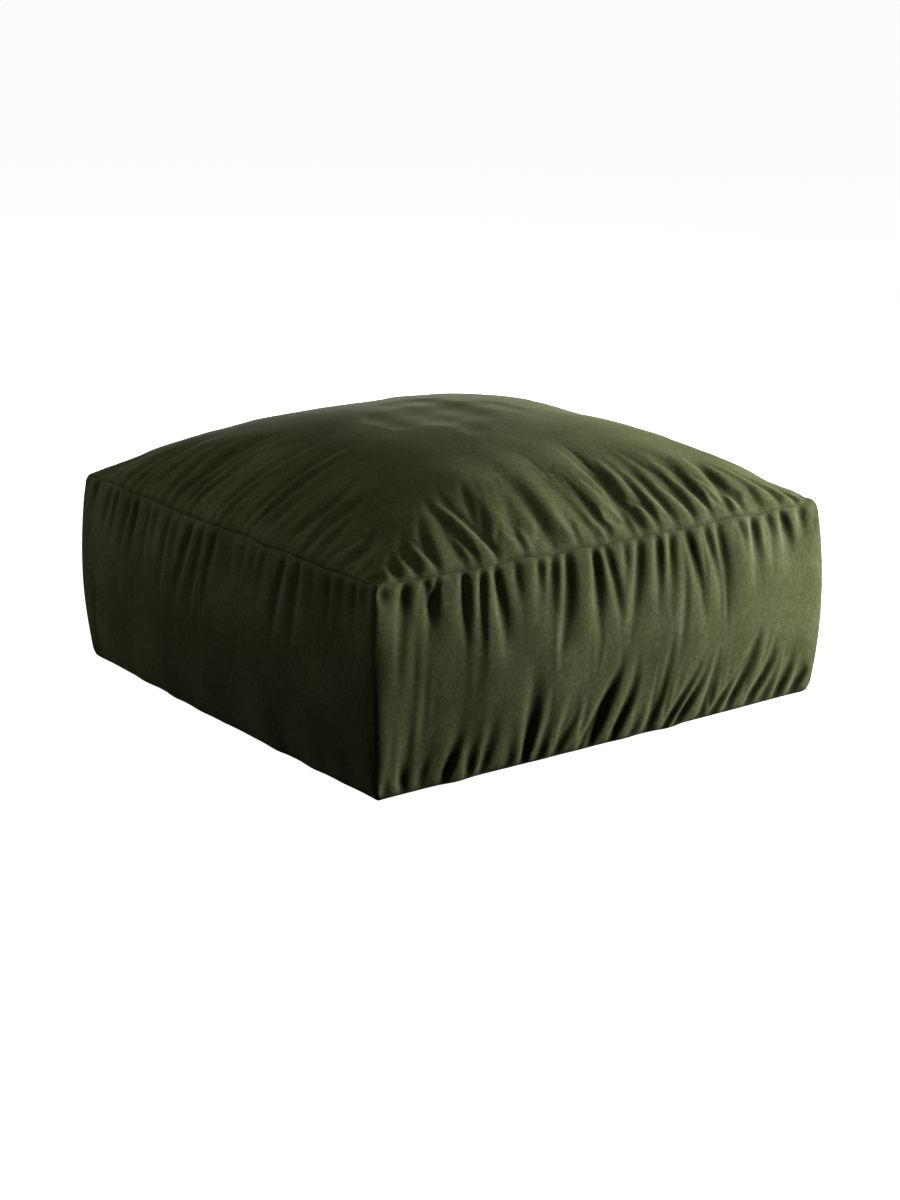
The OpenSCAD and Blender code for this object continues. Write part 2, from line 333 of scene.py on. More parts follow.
def velvet_material(colours):
    """Cotton velvet, cut pile, piece dyed: deep body colour, a faint pale bloom at grazing angles,
    and random patches where the pile has been brushed one way or the other, with the lighter
    patches painted sheen and the darker ones painted shade."""
    material, tree, place = new_material("cotton_velvet_cut_pile")
    body, brushed = linear(colours.velvet), linear(colours.velvet_painted_sheen)
    patches = noise(tree, place, 9.0, 3.0, Roughness=0.55)
    # crushed pile, in flecks 5 to 8 mm across
    flecks = noise(tree, place, 150.0, 3.0, Roughness=0.65)
    # the pile's own tufts, drawn at 1.5 mm so that they still show
    tufts = noise(tree, place, 620.0, 2.0, Roughness=0.6)
    mixed = maths(tree, "ADD", maths(tree, "ADD", patches, flecks), tufts)
    # a darker copy of the body colour as painted shade and lighter copies as painted sheen, laid in
    # random patches of pile
    colour = colour_ramp(tree, maths(tree, "DIVIDE", mixed, 3.0), [
        (0.36, shade(body, 0.72)), (0.48, body), (0.56, brushed), (0.66, shade(brushed, 1.3))])
    roughness = spread(tree, flecks, 0.78, 0.95)
    pile = bumped(tree, tufts, strength=0.3, distance=0.5 * MM)
    nap = bumped(tree, flecks, strength=0.22, distance=1.2 * MM, below={"Normal": pile})
    surface(tree, {"Base Color": colour, "Roughness": roughness, "Normal": nap},
            Specular_IOR_Level=0.06, Sheen_Weight=0.08, Sheen_Roughness=0.38,
            Sheen_Tint=linear(colours.sheen))
    return material


def woven_material(name, colour, thread, contrast=0.25, roughness=0.85, sheen=0.0, depth=0.4 * MM):
    """Plain weave: two crossed sets of threads, lighter where a thread comes up and darker where
    it dips: painted highlight and painted shade.
    """
    material, tree, place = new_material(name)
    # a wave of scale 1 has a band every pi / 10 metres
    across, along, up = [
        add(tree, "ShaderNodeTexWave", {"Vector": place}, bands_direction=direction,
            Scale=2 * math.pi / (20 * thread), Distortion=0.6, Detail=1.0).outputs["Fac"]
        for direction in ("X", "Y", "Z")]
    weave = maths(tree, "ADD", maths(tree, "MULTIPLY", across, along), up)
    slubs = noise(tree, place, 60.0, 3.0)
    height = maths(tree, "DIVIDE", maths(tree, "ADD", weave, slubs), 3.0)
    # raised threads painted lighter and low places darker: painted highlight and painted shade,
    # with the slubs' random tone
    tint = colour_ramp(tree, height, [
        (0.2, shade(colour, 1 - contrast)), (0.55, colour), (0.85, shade(colour, 1 + contrast))])
    bump = bumped(tree, height, strength=0.5, distance=depth)
    surface(tree, {"Base Color": tint, "Normal": bump},
            Roughness=roughness, Specular_IOR_Level=0.25, Sheen_Weight=sheen)
    return material


def fibre_material(colours):
    """Lofted polyester fibre: white, cloudy, with soft strands."""
    material, tree, place = new_material("lofted_polyester_fibre")
    white = linear(colours.fibre)
    clouds = noise(tree, place, 28.0, 5.0, Roughness=0.6)
    strands = noise(tree, place, 240.0, 3.0, Distortion=2.5)
    height = maths(tree, "ADD", clouds, strands)
    tint = colour_ramp(tree, clouds, [(0.35, shade(white, 0.8)), (0.65, white)])
    bump = bumped(tree, height, strength=0.6, distance=2 * MM)
    surface(tree, {"Base Color": tint, "Normal": bump},
            Roughness=0.95, Specular_IOR_Level=0.2, Sheen_Weight=0.2, Subsurface_Weight=0.15)
    return material


def foam_material(name, hex_colour, cell):
    """Open-cell polyurethane foam, cut with a blade: dull, with cells that show as fine pits,
    their middles darker as painted shade.
    """
    material, tree, place = new_material(name)
    colour = linear(hex_colour)
    cells = add(tree, "ShaderNodeTexVoronoi", {"Vector": place},
                Scale=1 / cell, Randomness=1.0).outputs["Distance"]
    tone = noise(tree, place, 12.0, 3.0)
    # darker towards each cell's middle, where the bump sinks its pit: painted shade, over a random
    # tone
    pits = maths(tree, "ADD", cells, tone)
    tint = colour_ramp(tree, pits, [(0.4, shade(colour, 0.75)), (1.1, shade(colour, 1.05))])
    bump = bumped(tree, cells, strength=0.6, distance=1 * MM)
    surface(tree, {"Base Color": tint, "Normal": bump},
            Roughness=0.9, Specular_IOR_Level=0.3)
    return material


def acetal_material(colours):
    """Acetal, injection moulded and dyed in the mass: even colour with a soft moulded shine."""
    material, tree, place = new_material("moulded_acetal")
    colour = linear(colours.zip_green)
    wear = noise(tree, place, 300.0, 3.0)
    tint = colour_ramp(tree, wear, [(0.35, shade(colour, 0.85)), (0.7, shade(colour, 1.2))])
    surface(tree, {"Base Color": tint, "Roughness": spread(tree, wear, 0.32, 0.5)}, IOR=1.48)
    return material


def bronze_material(colours):
    """Zinc alloy, die cast and bronze plated, then aged: dark in the hollows, rubbed bright on the
    edges."""
    material, tree, place = new_material("aged_bronze_plating")
    colour = linear(colours.bronze)
    patina = noise(tree, place, 420.0, 4.0, Roughness=0.6)
    edges = add(tree, "ShaderNodeNewGeometry").outputs["Pointiness"]
    rubbed = colour_ramp(tree, edges, [(0.48, (0, 0, 0, 1)), (0.58, (1, 1, 1, 1))])
    blotches = colour_ramp(tree, patina, [(0.35, shade(colour, 0.45)), (0.7, colour)])
    # the colour inputs of a mix node are its seventh and eighth, and its colour output the third
    tint = add(tree, "ShaderNodeMix", {0: rubbed, 6: blotches}, data_type="RGBA")
    tint.inputs[7].default_value = shade(colour, 2.2)
    rough = spread(tree, patina, 0.28, 0.5)
    surface(tree, {"Base Color": tint.outputs[2], "Roughness": rough}, Metallic=1.0)
    return material


def satin_material(colours):
    """Polyester satin ribbon, slit and heat sealed: pale, with a soft run of light along the
    threads, and the grooves between threads a little darker as painted shade."""
    material, tree, place = new_material("satin_ribbon")
    colour = linear(colours.label)
    threads = add(tree, "ShaderNodeTexWave", {"Vector": place}, bands_direction="Z",
                  Scale=400.0, Distortion=0.3).outputs["Fac"]
    # lighter on the raised threads and darker between them, as the bump is: painted shade between
    # the threads
    tint = colour_ramp(tree, threads, [(0.0, shade(colour, 0.92)), (1.0, colour)])
    bump = bumped(tree, threads, strength=0.2, distance=0.2 * MM)
    surface(tree, {"Base Color": tint, "Normal": bump},
            Roughness=0.42, Anisotropic=0.5)
    return material


def floor_material(colours):
    """Paper studio floor, lit from beneath as a light table is: pale and even, without shine."""
    material, tree, place = new_material("matt_studio_floor")
    tone = noise(tree, place, 1.5, 2.0)
    colour = linear(colours.floor)
    tint = colour_ramp(tree, tone, [(0.3, shade(colour, 0.985)), (0.7, colour)])
    surface(tree, {"Base Color": tint}, Roughness=0.9, Specular_IOR_Level=0.1,
            Emission_Color=(1, 1, 1, 1), Emission_Strength=0.97)
    return material


MATERIALS = {}


def material_of(name):
    """Each finish is made once and shared by the pieces that have it."""
    if name not in MATERIALS:
        colours = bpy.context.scene.cushion_colours
        makers = {
            "velvet": lambda: velvet_material(colours),
            "base_cloth": lambda: woven_material(
                "plain_woven_polyester_black", linear(colours.base_cloth), thread=1.2 * MM),
            "cotton": lambda: woven_material(
                "plain_woven_cotton", linear(colours.cotton), thread=0.9 * MM, contrast=0.12),
            "stay_tape": lambda: woven_material(
                "cotton_twill_tape_dyed", shade(linear(colours.velvet), 0.5),
                thread=1.2 * MM, contrast=0.2),
            "zip_tape": lambda: woven_material(
                "woven_zip_tape", linear(colours.zip_green),
                thread=1.0 * MM, contrast=0.35, roughness=0.7, sheen=0.1),
            # the thread's own colour, a light olive made from the velvet's lighter tone
            "thread": lambda: woven_material(
                "spun_polyester_thread", shade(linear(colours.velvet_painted_sheen), 1.9),
                thread=0.5 * MM, contrast=0.3, roughness=0.7, sheen=0.15, depth=0.2 * MM),
            "fibre": lambda: fibre_material(colours),
            "foam_soft": lambda: foam_material(
                "polyurethane_foam_soft", colours.foam_soft, cell=1.6 * MM),
            "foam_medium": lambda: foam_material(
                "polyurethane_foam_medium", colours.foam_medium, cell=1.3 * MM),
            "foam_firm": lambda: foam_material(
                "polyurethane_foam_firm", colours.foam_firm, cell=1.0 * MM),
            "acetal": lambda: acetal_material(colours),
            "bronze": lambda: bronze_material(colours),
            "satin": lambda: satin_material(colours),
            "floor": lambda: floor_material(colours),
        }
        MATERIALS[name] = makers[name]()
    return MATERIALS[name]


# --- Cover ---
# A gather is a fold that starts at a seam and runs into the panel. s is the place along the seam
# and d the distance from it, both in metres.


class Gathers:
    """The gathers of one side of one panel, drawn from a seeded generator."""

    JITTER = 0.28                    # of the folds' even spacing, to each side
    SMALL_SHARE, SMALL = 0.3, 0.6    # three folds in ten are only 0.6 as long and as deep
    SLOPE_SPREAD, CURVE_SPREAD = 0.13, 0.5
    CORNER_REACH, CORNER_GAIN = 20 * MM, 0.75    # a fold near a corner stays short
    DRAW_IN = 9 * MM                 # a fold is flat at its seam, and opens over this distance
    RIDGE, RIDGE_WIDTH = 0.30, 2.2   # the soft ridges beside a crease, to its depth and width

    def __init__(self, rng, half, count, reach, depth, width, lean, fan):
        self.folds = []
        gap = 2 * half / count
        for k in range(count):
            s = -half + gap * (k + 0.5 + rng.uniform(-self.JITTER, self.JITTER))
            long, deep = rng.uniform(*reach) * MM, rng.uniform(*depth) * MM
            if rng.random() < self.SMALL_SHARE:
                deep, long = self.SMALL * deep, self.SMALL * long
            long = min(long, self.CORNER_REACH + self.CORNER_GAIN * (half - abs(s)))
            slope = lean + fan * s / half + rng.normal(0, self.SLOPE_SPREAD)
            self.folds.append((s, long, deep, slope, rng.uniform(*width) * MM,
                               rng.normal(0, self.CURVE_SPREAD)))

    def height(self, s, d):
        """How far the cloth stands out at s and d; a crease is narrow and a little flat in its
        bottom, and widens as it runs out."""
        total = np.zeros_like(s)
        for start, long, deep, slope, width, curve in self.folds:
            along = np.clip(d / long, 0, 1)
            fade = (1 - along ** 2) ** 1.5 * (1 - np.exp(-d / self.DRAW_IN))
            wide = width * (0.75 + along)
            off = s - (start + slope * d + curve * d * d)
            crease = np.maximum(np.sqrt((off / wide) ** 2 + 0.06) - 0.245, 0)
            total -= deep * fade * np.exp(-1.3 * crease ** 1.25)
            total += self.RIDGE * deep * fade * np.exp(-(off / (self.RIDGE_WIDTH * wide)) ** 2)
        sunk = DEEPEST_FOLD * np.tanh(-np.minimum(total, 0) / DEEPEST_FOLD)
        return np.maximum(total, 0) - sunk


def lumps(rng, a, b, count, shortest, longest, height):
    """Slow unevenness of a hand-stuffed filling."""
    total = np.zeros_like(a)
    for _ in range(count):
        turn, start = rng.uniform(0, 2 * math.pi, 2)
        wave = rng.uniform(shortest, longest)
        total += np.sin(2 * math.pi * (a * math.cos(turn) + b * math.sin(turn)) / wave + start)
    return height * total / math.sqrt(count)


def pillow(u, power, shoulder):
    """1 in the middle, falling to 0 at u = -1 and 1."""
    return np.maximum(0, 1 - np.abs(u) ** power) ** shoulder


def outward(grid):
    """Unit normals of a grid of points."""
    n = np.cross(np.gradient(grid, axis=0), np.gradient(grid, axis=1))
    return n / np.maximum(1e-9, np.linalg.norm(n, axis=-1, keepdims=True))


def turn(grid, quarter):
    """Turns points a number of quarter turns about the upright axis."""
    c, s = ((1, 0), (0, 1), (-1, 0), (0, -1))[quarter]
    return grid @ np.array([[c, -s, 0], [s, c, 0], [0, 0, 1]]).T


def distance_to(points, line):
    """Distance of each point from a line of many short straight stretches."""
    nearest = ((points[:, None] - line[None]) ** 2).sum(-1).argmin(1)
    found = np.full(len(points), np.inf)
    for step in (-1, 0):
        first = np.clip(nearest + step, 0, len(line) - 2)
        start, along = line[first], line[first + 1] - line[first]
        t = np.clip(((points - start) * along).sum(-1) / (along ** 2).sum(-1), 0, 1)
        found = np.minimum(found, np.linalg.norm(points - start - along * t[:, None], axis=1))
    return found


def edge_of(shape):
    mask = np.zeros(shape, bool)
    mask[0, :] = mask[-1, :] = mask[:, 0] = mask[:, -1] = True
    return mask


class CoverShape:
    """Grids of points for the cover's panels, before the cloth settles. A grid's first index runs
    along the panel's lower seam, left to right as seen from outside, and its second runs up."""

    def __init__(self, sizes, cloth):
        self.z = sizes
        self.rng = rng = np.random.default_rng(cloth.seed)
        self.w = w = sizes.half_width
        self.across = int(round(2 * w / sizes.grid_step))
        self.top_gathers = [Gathers(rng, w, *folds) for folds in TOP_GATHERS]
        self.side_gathers = [Gathers(rng, w, *folds) for folds in SIDE_GATHERS]
        self.base_gathers = [Gathers(rng, w, *folds) for folds in BASE_GATHERS]
        self.wobbles = rng.uniform(0, 2 * math.pi, (3, 4, 5))
        self.seams = self.seam_lines()

    def wobble(self, kind, side, u):
        """Small unevenness of a sewn seam, none at its corners; kind 0 is the top seam's bow,
        1 its height and 2 the base seam's height."""
        total = np.zeros_like(u)
        for k, start in enumerate(self.wobbles[kind][side]):
            total += np.sin((7 + 6.5 * k) * u + start)
        return total / 2.2 * (1 - u ** 2) ** 0.5

    def top_bow(self, side, u):
        return self.z.top_seam_bow * (1 - u ** 2) + TOP_WOBBLE * self.wobble(0, side, u)

    def top_height(self, side, u):
        return TOP_HEIGHT_WOBBLE * self.wobble(1, side, u)

    def base_bow(self, side, u):
        bow = 0 if SIDE_NAMES[side] == "rear" else self.z.base_seam_bow
        return bow * (1 - u ** 2)

    def base_height(self, side, u):
        return (self.z.base_seam_height + self.z.corner_lift * np.abs(u) ** LIFT_POWER
                + BASE_HEIGHT_WOBBLE * (1 + self.wobble(2, side, u)))

    def corner_bow(self, height):
        lowest = self.z.base_seam_height + self.z.corner_lift
        t = np.clip((height - lowest) / (self.z.seam_height - lowest), 0, 1)
        return self.z.corner_out + self.z.corner_bow * 4 * t * (1 - t)

    def near_corner(self, s):
        """1 along a seam, falling to 0 over the last hundredths before its corner."""
        return np.clip((1 - np.abs(s) / self.w) / 0.04, 0, 1) ** 0.7

    def four_sides(self, u, v):
        """Place along each side's seam, and distance from it, for points of the plan's square."""
        w = self.w
        return ((w * u, w * (1 + v)), (w * v, w * (1 - u)),
                (-w * u, w * (1 - v)), (-w * v, w * (1 + u)))

    def plan(self, u, v, bow):
        """The square with its four sides bowed."""
        out = self.z.corner_out
        x = u * (self.w + bow(1, v) * (1 + u) / 2 + bow(3, -v) * (1 - u) / 2
                 + out * np.abs(v) ** CORNER_POWER)
        y = v * (self.w + bow(0, u) * (1 - v) / 2 + bow(2, -u) * (1 + v) / 2
                 + out * np.abs(u) ** CORNER_POWER)
        return x, y

    def between_sides(self, u, v, height):
        """The seams' heights carried across the square; a height that all four sides share is
        counted twice."""
        return (height(0, u) * (1 - v) / 2 + height(2, -u) * (1 + v) / 2
                + height(1, v) * (1 + u) / 2 + height(3, -v) * (1 - u) / 2)

    def square(self):
        n = np.linspace(-1, 1, self.across + 1)
        return np.meshgrid(n, n, indexing="ij")

    def top(self):
        u, v = self.square()
        x, y = self.plan(u, v, self.top_bow)
        rise = self.z.crown * pillow(u, CROWN_POWER, CROWN_SHOULDER)
        rise = rise * pillow(v, CROWN_POWER, CROWN_SHOULDER)
        seam = self.between_sides(u, v, self.top_height)
        grid = np.stack([x, y, self.z.seam_height + rise + seam], -1)
        height = sum(g.height(s, d) * self.near_corner(s)
                     for g, (s, d) in zip(self.top_gathers, self.four_sides(u, v)))
        inside = np.clip(self.w * np.minimum(1 - np.abs(u), 1 - np.abs(v)) / FADE_IN, 0, 1)
        uneven = lumps(self.rng, x, y, count=9, shortest=0.16, longest=0.40, height=0.8 * MM)
        return self.shaped(grid, height + uneven * inside)

    def side(self, side, low, high, flat_to=0.0):
        """One side between two edges, low(u) and high(u) above the floor; it is flat up to
        flat_to."""
        z, w = self.z, self.w
        tall = float(np.max(high(np.zeros(1)) - low(np.zeros(1))))
        up = max(6, int(round(tall / z.grid_step)))
        u, t = np.meshgrid(np.linspace(-1, 1, self.across + 1), np.linspace(0, 1, up + 1),
                           indexing="ij")
        floor, roof = low(u), high(u)
        height = floor + (roof - floor) * t
        swell_from = flat_to or floor
        swell_to = z.seam_height + self.top_height(side, u)
        level = np.clip((height - swell_from) / (swell_to - swell_from), 0, 1)
        corner = self.corner_bow(height)
        swell = z.side_swell * pillow(2 * level - 1, SWELL_POWER, SWELL_SHOULDER_UP)
        swell = swell * pillow(u, SWELL_POWER, SWELL_SHOULDER_ALONG)
        bow = self.base_bow(side, u) * (1 - level) + self.top_bow(side, u) * level
        out = w + bow + swell + corner * np.abs(u) ** CORNER_POWER
        grid = np.stack([u * (w + corner), -out, height], -1)
        s = w * u
        fold = self.side_gathers[side].height(s, np.maximum(z.seam_height - height, 0))
        above_base = np.maximum(height - self.base_height(side, u), 0)
        fold += self.base_gathers[side].height(s, above_base)
        loose = np.clip((height - flat_to) / (40 * MM), 0, 1) if flat_to else 1.0
        inside = np.clip(np.minimum(height, z.seam_height - height) / FADE_IN, 0, 1)
        uneven = lumps(self.rng, s, height, count=6, shortest=0.15, longest=0.35, height=1.8 * MM)
        fold = fold * self.near_corner(s) + uneven * (inside * self.near_corner(s))
        return self.shaped(turn(grid, side), fold * loose)

    def base(self):
        """The base lies flat and turns up to its seam over the last few millimetres."""
        roll = 13 * MM
        flat = 1 - roll / self.w
        half = np.concatenate([np.linspace(0, flat, 36)[:-1], np.linspace(flat, 1, 8)])
        n = np.concatenate([-half[:0:-1], half])
        u, v = np.meshgrid(n, n, indexing="ij")
        x, y = self.plan(u, v, self.base_bow)
        lift = 1 - np.clip(self.w * np.minimum(1 - np.abs(u), 1 - np.abs(v)) / roll, 0, 1)
        edge = np.maximum(np.maximum(np.abs(u), np.abs(v)), 0.5)
        seam = self.base_seam(u / edge, v / edge)
        drawn_in = self.shaped(seam, np.zeros_like(x)) - seam
        grid = np.stack([x, y, seam[..., 2] * lift ** 2], -1) + drawn_in * lift[..., None]
        return grid[:, ::-1]

    def base_seam(self, u, v):
        height = self.between_sides(u, v, self.base_height) - self.base_height(0, np.ones(1))
        return np.stack([*self.plan(u, v, self.base_bow), height], -1)

    def seam_lines(self):
        """Each seam as its points, the way it is drawn in and how deep its groove is."""
        lines, n = [], np.linspace(-1, 1, self.across + 1)
        deep, seam_height = self.z.seam_groove, self.z.seam_height
        along = n * (self.w + self.z.corner_out)
        out = self.w + self.z.corner_out * np.abs(n) ** CORNER_POWER
        for side in range(4):
            top = np.stack([along, -(out + self.top_bow(side, n)),
                            seam_height + self.top_height(side, n)], -1)
            base = np.stack([along, -(out + self.base_bow(side, n)), self.base_height(side, n)], -1)
            up = np.linspace(float(self.base_height(side, np.ones(1))[0]), seam_height, 61)
            edge = self.w + self.corner_bow(up)
            corner = np.stack([-edge, -edge, up], -1)
            for points, pull in ((top, TOP_SEAM_PULL), (base, BASE_SEAM_PULL),
                                 (corner, CORNER_SEAM_PULL)):
                lines.append((turn(points, side), deep * turn(np.array(pull), side)))
        past_zip = np.linspace(SLIT_END + 8 * MM, self.w, 12)
        for x in (past_zip, -past_zip):
            join = np.stack([x, np.full_like(x, self.w), np.full_like(x, ZIP_HEIGHT)], -1)
            lines.append((join, np.array(JOIN_PULL)))
        return lines

    def shaped(self, grid, height):
        """Adds the gathers along the normals, then draws each seam in, so that panels meet in a
        groove."""
        grid = grid + outward(grid) * np.where(edge_of(height.shape), 0, height)[..., None]
        points = grid.reshape(-1, 3)
        move, reach = np.zeros_like(points), self.z.seam_roll
        for line, pull in self.seams:
            near = ((points > line.min(0) - reach) & (points < line.max(0) + reach)).all(1)
            close = np.clip(1 - distance_to(points[near], line) / reach, 0, 1)
            move[near] += (1 - np.sqrt(1 - close ** 2))[:, None] * pull
        return (points + move).reshape(grid.shape)


def slit_edge(way):
    """Height of a rear panel's edge at u: beside the zip's slit, or where the two panels join past
    it. The slit closes over 8 mm round the zip's end."""
    def height(u, w=TOP_HIGH.x):
        past = np.clip((np.abs(u) * w - SLIT_END + 4 * MM) / (8 * MM), 0, 1)
        return ZIP_HEIGHT + way * SLIT_HALF * (1 - past)
    return height


def grid_faces(shape, first=0):
    n, m = shape
    ids = first + np.arange(n * m).reshape(n, m)
    return np.stack([ids[:-1, :-1], ids[1:, :-1], ids[1:, 1:], ids[:-1, 1:]], -1).reshape(-1, 4)


def settle_cloth(panels, pinned, cloth):
    """Lets all the panels settle together under the filling's push, their seams held, and returns
    their grids."""
    points = np.concatenate([g.reshape(-1, 3) for g in panels])
    held = np.concatenate([p.ravel() for p in pinned])
    firsts = np.cumsum([0] + [g.shape[0] * g.shape[1] for g in panels])
    faces = [grid_faces(g.shape[:2], first) for g, first in zip(panels, firsts)]
    piece = mesh_piece("cloth_at_work", points, np.concatenate(faces))
    group = piece.vertex_groups.new(name="held")
    group.add([int(k) for k in np.nonzero(held)[0]], 1.0, "REPLACE")
    activate(piece)
    modifier = piece.modifiers.new("Cloth", "CLOTH")
    s = modifier.settings
    s.quality = 5
    s.mass = cloth.point_mass
    s.air_damping = 1
    s.tension_stiffness = s.compression_stiffness = cloth.stiffness
    s.shear_stiffness = cloth.stiffness / 2
    s.bending_stiffness = cloth.bending
    s.tension_damping = s.compression_damping = s.shear_damping = 5
    s.bending_damping = 0.5
    s.use_pressure = True
    s.uniform_pressure_force = cloth.pressure
    s.vertex_group_mass = "held"
    s.pin_stiffness = 1
    s.effector_weights.gravity = 0
    modifier.point_cache.frame_start = 1
    modifier.point_cache.frame_end = cloth.frames + 1
    for f in range(1, cloth.frames + 1):
        bpy.context.scene.frame_set(f)
    bpy.ops.object.modifier_apply(modifier=modifier.name)
    settled = np.empty(len(points) * 3, np.float32)
    piece.data.vertices.foreach_get("co", settled)
    bpy.data.objects.remove(piece)
    bpy.context.scene.frame_set(1)
    move = settled.reshape(-1, 3).astype(float) - points
    far = np.linalg.norm(move, axis=1, keepdims=True)
    points = points + move * np.minimum(1, cloth.most_move / np.maximum(far, 1e-9))
    return [part.reshape(g.shape) for part, g in zip(np.split(points, firsts[1:-1]), panels)]


class CUSHION_OT_cover(bpy.types.Operator):
    """Builds the gathered velvet cover, one piece for each panel, and lets its cloth settle"""
    bl_idname = "cushion.cover"
    bl_label = "Velvet cover"

    def execute(self, context):
        sizes, cloth = context.scene.cushion_sizes, context.scene.cushion_cloth
        shape = CoverShape(sizes, cloth)
        names = ["cover_top_panel"]
        grids = [shape.top()]
        pinned = [edge_of(grids[0].shape[:2])]
        nodes = ["top_panel"]
        for side, name in enumerate(SIDE_NAMES):
            base = lambda u, side=side: shape.base_height(side, u)
            roof = lambda u, side=side: sizes.seam_height + shape.top_height(side, u)
            parts = [(name, base, roof, 0.0)]
            if name == "rear":
                parts = [("rear_upper", slit_edge(1), roof, FLAT_ZONE),
                         ("rear_lower", base, slit_edge(-1), FLAT_ZONE)]
            for part, low, high, flat_to in parts:
                grid = shape.side(side, low, high, flat_to)
                names.append(f"cover_{part}_panel")
                grids.append(grid)
                pinned.append(edge_of(grid.shape[:2]) | (grid[..., 2] < flat_to))
                nodes.append("rear_panel_" + part[5:] if flat_to else part + "_panel")
        grids = settle_cloth(grids, pinned, cloth)
        for name, grid, node in zip(names, grids, nodes):
            piece = mesh_piece(name, grid.reshape(-1, 3), grid_faces(grid.shape[:2]))
            modify(piece, "SUBSURF", levels=1, render_levels=1,
                   boundary_smooth="PRESERVE_CORNERS")
            modify(piece, "SOLIDIFY", thickness=sizes.velvet_thickness, offset=-1)
            smooth(piece)
            finish_piece(piece, name, "cushion", material_of("velvet"), [node])
        return {"FINISHED"}


class CUSHION_OT_base(bpy.types.Operator):
    """Builds the base cloth, flat on the floor and turned up to meet the base seam"""
    bl_idname = "cushion.base"
    bl_label = "Base cloth"

    def execute(self, context):
        sizes, cloth = context.scene.cushion_sizes, context.scene.cushion_cloth
        grid = CoverShape(sizes, cloth).base()
        piece = mesh_piece("base_cloth_panel", grid.reshape(-1, 3), grid_faces(grid.shape[:2]))
        modify(piece, "SOLIDIFY", thickness=1 * MM, offset=-1)
        smooth(piece)
        finish_piece(piece, "base_cloth_panel", "cushion", material_of("base_cloth"),
                     ["base_panel"])
        return {"FINISHED"}


# --- Zip ---

def copy_of_node(node):
    """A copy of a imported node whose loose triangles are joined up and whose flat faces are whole
    again."""
    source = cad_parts[node]
    piece = source.copy()
    piece.data = source.data.copy()
    piece.parent = None
    for key in list(piece.keys()):
        del piece[key]
    bpy.context.scene.collection.objects.link(piece)
    activate(piece)
    bpy.ops.object.mode_set(mode="EDIT")
    bpy.ops.mesh.select_all(action="SELECT")
    bpy.ops.mesh.remove_doubles(threshold=0.01 * MM)
    bpy.ops.mesh.dissolve_limited(angle_limit=math.radians(1))
    bpy.ops.mesh.normals_make_consistent(inside=False)
    bpy.ops.object.mode_set(mode="OBJECT")
    return piece


def eased_copy(node, name, body, width):
    """The node's own shape with its edges eased, in aged bronze."""
    piece = copy_of_node(node)
    modify(piece, "BEVEL", width=width, segments=3, limit_method="ANGLE",
           angle_limit=math.radians(40), harden_normals=False)
    smooth(piece, 35)
    return finish_piece(piece, name, body, material_of("bronze"), [node])


def joined(pieces):
    activate(pieces[0])
    for piece in pieces:
        piece.select_set(True)
    bpy.ops.object.join()
    return pieces[0]


def repeated(piece, count, step):
    """The piece and its copies in a row, as one object."""
    modify(piece, "ARRAY", use_relative_offset=False, use_constant_offset=True,
           constant_offset_displace=Vector(step), count=count)
    return piece


def box_piece(low, high, bevel, segments=1):
    """A primitive cube between two corners, its edges eased in edit mode."""
    deselect()
    low, high = Vector(low), Vector(high)
    bpy.ops.mesh.primitive_cube_add(size=1, location=(low + high) / 2, scale=high - low)
    piece = bpy.context.object
    settle_place(piece)
    bpy.ops.object.mode_set(mode="EDIT")
    bpy.ops.mesh.select_all(action="SELECT")
    bpy.ops.mesh.bevel(offset=bevel, segments=segments, affect="EDGES")
    bpy.ops.object.mode_set(mode="OBJECT")
    return piece


class CUSHION_OT_zip_teeth(bpy.types.Operator):
    """Builds the two rows of moulded teeth, each on its rounded edge"""
    bl_idname = "cushion.zip_teeth"
    bl_label = "Zip teeth"

    def execute(self, context):
        pitch, tooth = 4 * MM, 2 * MM
        head_tall, head_in = 1.3 * MM, 0.1 * MM
        neck_from, neck_in, neck_thin = 0.9 * MM, 0.45 * MM, 0.4 * MM
        edge_tall = 1.7 * MM
        for name, node, low, high, way in (
                ("zip_teeth_upper_row", "zip_teeth_upper", TEETH_UP_LOW, TEETH_UP_HIGH, 1),
                ("zip_teeth_lower_row", "zip_teeth_lower", TEETH_DOWN_LOW, TEETH_DOWN_HIGH, -1)):
            tip, root = (low.z, high.z) if way > 0 else (high.z, low.z)
            z_low, z_high = sorted((tip, tip + way * head_tall))
            head = box_piece((low.x, low.y + head_in, z_low),
                             (low.x + tooth, high.y - head_in, z_high), 0.45 * MM)
            z_low, z_high = sorted((tip + way * neck_from, root))
            neck = box_piece((low.x + neck_in, low.y + neck_thin, z_low),
                             (low.x + tooth - neck_in, high.y - neck_thin, z_high), 0.25 * MM)
            count = int(round((high.x - low.x - tooth) / pitch)) + 1
            row = repeated(joined([head, neck]), count, (pitch, 0, 0))
            z_low, z_high = sorted((root, root - way * edge_tall))
            edge = box_piece((low.x, low.y, z_low), (high.x, high.y, z_high), 0.7 * MM, 3)
            row = joined([row, edge])
            smooth(row, 50)
            finish_piece(row, name, "cushion", material_of("acetal"), [node])
        return {"FINISHED"}


class CUSHION_OT_zip_metal(bpy.types.Operator):
    """Builds the zip's slider, pull tab and stops"""
    bl_idname = "cushion.zip_metal"
    bl_label = "Zip slider, tab and stops"

    def execute(self, context):
        eased_copy("zip_slider", "zip_slider_body", "slider", 0.35 * MM)
        eased_copy("zip_pull_tab", "zip_pull", "pull_tab", 0.3 * MM)
        eased_copy("zip_top_stops", "zip_end_stops", "cushion", 0.4 * MM)
        eased_copy("zip_bottom_stop", "zip_open_end_stop", "cushion", 0.5 * MM)
        return {"FINISHED"}


